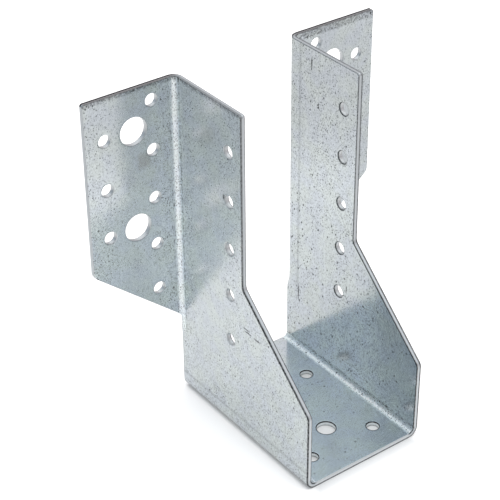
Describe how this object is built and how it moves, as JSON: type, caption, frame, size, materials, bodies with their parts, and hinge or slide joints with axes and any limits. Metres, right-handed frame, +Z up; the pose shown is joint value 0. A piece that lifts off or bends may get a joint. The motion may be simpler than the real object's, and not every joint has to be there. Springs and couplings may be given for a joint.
{
  "type": "joist hanger",
  "caption": "Joist hanger folded from one galvanised steel sheet: a U-shaped seat with tapering side plates and outward nailing flanges, punched for nails and bolts.",
  "frame": {"origin": "under the middle of the seat, on the surface that the hanger stands on", "axes": "+Z up along the side plates, +Y towards the header, X across the joist's width"},
  "size_m": [0.1306, 0.08, 0.139],
  "materials": {
    "galvanised_steel": "semi-gloss hot-dip zinc with fine dark specks"
  },
  "bodies": {
    "root": {"hanger_body": "galvanised_steel"}
  },
  "joints": []
}
